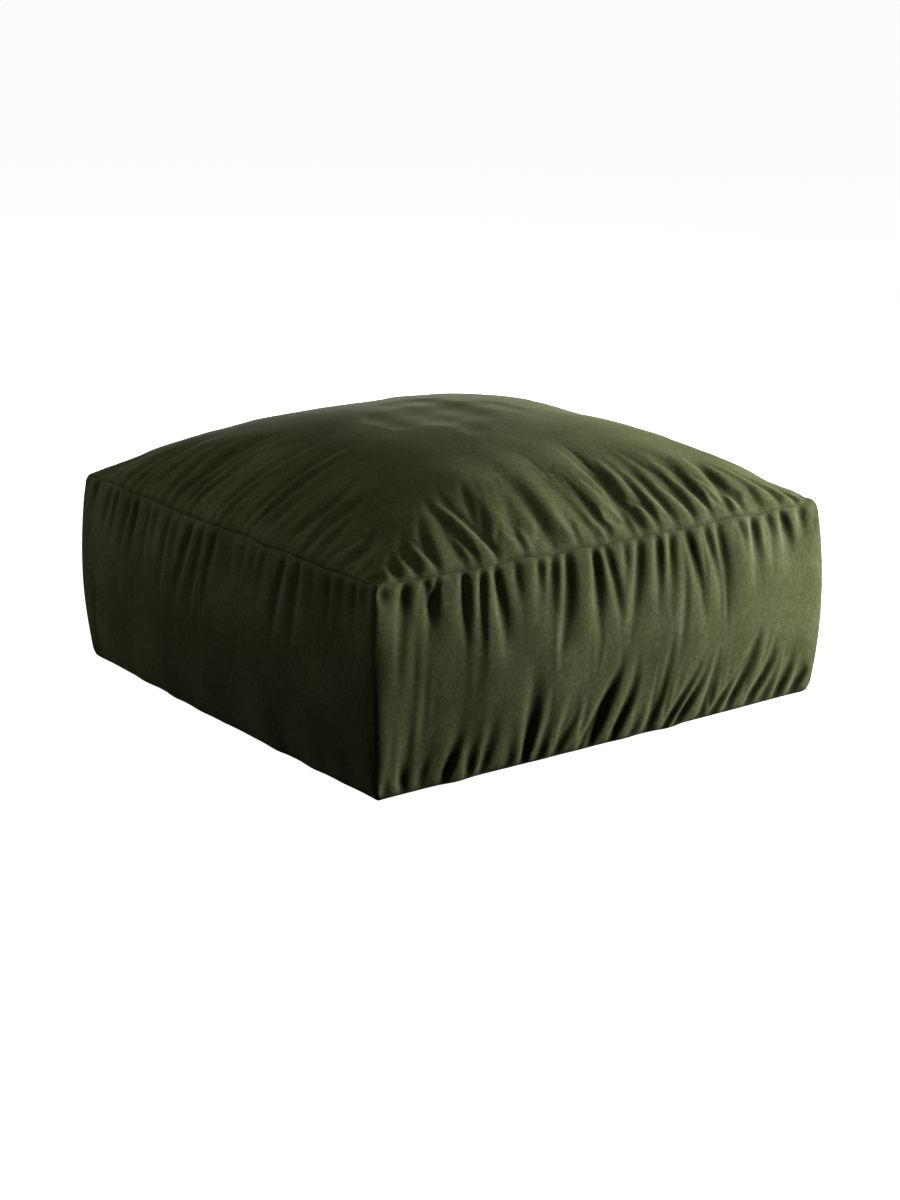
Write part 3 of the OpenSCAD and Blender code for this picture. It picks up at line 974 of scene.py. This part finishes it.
class CUSHION_OT_topstitch(bpy.types.Operator):
    """Sews the velvet's folded edges down along the zip and across its ends"""
    bl_idname = "cushion.topstitch"
    bl_label = "Zip topstitching"

    def execute(self, context):
        long, gap, half, eased = 3.6 * MM, 1.2 * MM, 0.45 * MM, 0.3 * MM
        row_off, end = SLIT_HALF + 6 * MM, SLIT_END + 7 * MM
        # a stitch sinks into the cloth's face and stands a little proud of it
        face = TOP_HIGH.y
        sunk, row_proud, end_proud = face - 0.35 * MM, face + 0.5 * MM, face + 0.4 * MM
        rows = []
        for way in (-1, 1):
            z = ZIP_HEIGHT + way * row_off
            stitch = box_piece((-end, sunk, z - half), (-end + long, row_proud, z + half), eased)
            count = int((2 * end) / (long + gap)) + 1
            rows.append(repeated(stitch, count, (long + gap, 0, 0)))
            x, z = way * end, ZIP_HEIGHT - row_off
            stitch = box_piece((x - half, sunk, z), (x + half, end_proud, z + long), eased)
            count = int((2 * row_off) / (long + gap)) + 1
            rows.append(repeated(stitch, count, (0, 0, long + gap)))
        stitches = joined(rows)
        smooth(stitches, 60)
        finish_piece(stitches, "zip_topstitch", "cushion", material_of("thread"))
        return {"FINISHED"}


class CUSHION_OT_label(bpy.types.Operator):
    """Hangs the blank care label, a ribbon folded in half, from the corner seam"""
    bl_idname = "cushion.label"
    bl_label = "Care label"

    def execute(self, context):
        low, high = LABEL_LOW, LABEL_HIGH
        fold_radius = 0.5 * MM
        half = np.linspace(0, 1, 24)
        out = 0.5 * MM + 1.6 * MM * np.sin(math.pi * half * 0.75)
        near = np.stack([low.x + (high.x - low.x) * half, low.y + out], -1)
        turn_in = np.linspace(0, math.pi, 8)[1:-1]
        fold = np.stack([high.x + fold_radius * np.sin(turn_in),
                         low.y + out[-1] + fold_radius * (1 - np.cos(turn_in))], -1)
        far = near[::-1] + np.array((0, 2 * fold_radius))
        line = np.concatenate([near, fold, far])
        # it lies on the cover, which stands out a little towards the corner seam
        sizes = context.scene.cushion_sizes
        share = np.minimum(1, np.abs(line[:, 0]) / sizes.half_width)
        line[:, 1] += sizes.corner_out * share ** CORNER_POWER
        # and waves a little up its width
        rows = [(z, 0.3 * MM * math.sin(9 * (z - low.z) / (high.z - low.z)))
                for z in np.linspace(low.z, high.z, 9)]
        grid = np.array([[(x, y + wave, z) for z, wave in rows] for x, y in line])
        ribbon = mesh_piece("care_label_ribbon", grid.reshape(-1, 3), grid_faces(grid.shape[:2]))
        modify(ribbon, "SOLIDIFY", thickness=0.3 * MM, offset=0)
        modify(ribbon, "SUBSURF", levels=1, render_levels=1)
        smooth(ribbon)
        finish_piece(ribbon, "care_label_ribbon", "cushion", material_of("satin"),
                     ["care_label"])
        return {"FINISHED"}


class CUSHION_OT_inner_finishes(bpy.types.Operator):
    """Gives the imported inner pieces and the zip's tapes their finishes"""
    bl_idname = "cushion.inner_finishes"
    bl_label = "Filling, liner and tapes"

    def execute(self, context):
        finishes = {
            "zip_tape": ("zip_tape_upper", "zip_tape_lower"),
            "stay_tape": ("top_stay_tape", "base_stay_tape"),
            "cotton": ("liner_top", "liner_band", "liner_base",
                       "topper_casing", "topper_baffles"),
            "fibre": ("wadding_top", "wadding_band", "wadding_base", "topper_fill"),
            "foam_soft": ("foam_soft_slab",),
            "foam_medium": ("foam_block",),
            "foam_firm": ("foam_firm_slab",),
        }
        for finish, nodes in finishes.items():
            for node in nodes:
                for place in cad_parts[node].material_slots:
                    place.material = material_of(finish)
        return {"FINISHED"}


# --- Stage ---

def around(azimuth, elevation, distance, aim):
    """A place round the aim point, and the turn that looks back at it."""
    a, e = math.radians(azimuth), math.radians(elevation)
    back = Vector((math.sin(a) * math.cos(e), -math.cos(a) * math.cos(e), math.sin(e)))
    return aim + back * distance, (-back).to_track_quat("-Z", "Y").to_euler()


def studio_world():
    """White studio walls, too far off to light the cushion."""
    world = bpy.data.worlds.new("studio")
    world.use_nodes = True
    background = world.node_tree.nodes["Background"]
    background.inputs["Color"].default_value = (1, 1, 1, 1)
    background.inputs["Strength"].default_value = 1.0
    world.cycles_visibility.diffuse = world.cycles_visibility.glossy = False
    return world


class CUSHION_OT_stage(bpy.types.Operator):
    """Lays the pale floor and sets the soft lights and the camera"""
    bl_idname = "cushion.stage"
    bl_label = "Stage"

    def execute(self, context):
        scene, stage = context.scene, context.scene.cushion_stage
        aim = Vector((0, 0, TOP_LOW.z / 2))
        deselect()
        bpy.ops.mesh.primitive_grid_add(x_subdivisions=4, y_subdivisions=4, size=FLOOR_SIZE)
        floor = bpy.context.object
        floor.name = "studio_floor"
        floor.data.materials.append(material_of("floor"))
        # the paper of the floor throws no light back on the cushion
        floor.visible_diffuse = floor.visible_glossy = False
        for name, azimuth, elevation, distance, size, power in LIGHTS:
            data = bpy.data.lights.new(name, "AREA")
            data.energy, data.size = power, size
            lamp = bpy.data.objects.new(name, data)
            scene.collection.objects.link(lamp)
            lamp.location, lamp.rotation_euler = around(azimuth, elevation, distance, aim)
        scene.world = studio_world()
        data = bpy.data.cameras.new("camera")
        data.lens, data.sensor_width, data.sensor_fit = stage.lens, 36, "AUTO"
        data.shift_x, data.shift_y = stage.shift_x, stage.shift_y
        data.clip_end = 500
        camera = bpy.data.objects.new("camera", data)
        scene.collection.objects.link(camera)
        camera.location, camera.rotation_euler = around(
            stage.azimuth, stage.elevation, stage.distance, aim)
        scene.camera = camera
        scene.view_settings.view_transform = "Standard"
        return {"FINISHED"}


class CUSHION_PT_panel(bpy.types.Panel):
    """Lists the cushion's pieces in the order they are built"""
    bl_idname = "CUSHION_PT_panel"
    bl_label = "Floor cushion"
    bl_space_type = "VIEW_3D"
    bl_region_type = "UI"
    bl_category = "Cushion"

    def draw(self, context):
        for operator in OPERATORS:
            self.layout.operator(operator.bl_idname)
        for group in GROUPS:
            values = getattr(context.scene, group)
            for name in values.bl_rna.properties.keys():
                if name not in ("rna_type", "name"):
                    self.layout.prop(values, name)


OPERATORS = (CUSHION_OT_cover, CUSHION_OT_base, CUSHION_OT_zip_teeth, CUSHION_OT_zip_metal,
             CUSHION_OT_topstitch, CUSHION_OT_label, CUSHION_OT_inner_finishes, CUSHION_OT_stage)
GROUPS = {"cushion_sizes": CushionSizes, "cushion_cloth": CushionCloth,
          "cushion_colours": CushionColours, "cushion_stage": CushionStage}


def register():
    for made in (*GROUPS.values(), *OPERATORS, CUSHION_PT_panel):
        bpy.utils.register_class(made)
    for name, group in GROUPS.items():
        setattr(bpy.types.Scene, name, PointerProperty(type=group))


def unregister():
    for name in GROUPS:
        delattr(bpy.types.Scene, name)
    for made in (CUSHION_PT_panel, *reversed(OPERATORS), *reversed(GROUPS.values())):
        bpy.utils.unregister_class(made)


def main():
    register()
    for operator in OPERATORS:
        group, name = operator.bl_idname.split(".")
        getattr(getattr(bpy.ops, group), name)()


if __name__ == "__main__":
    main()
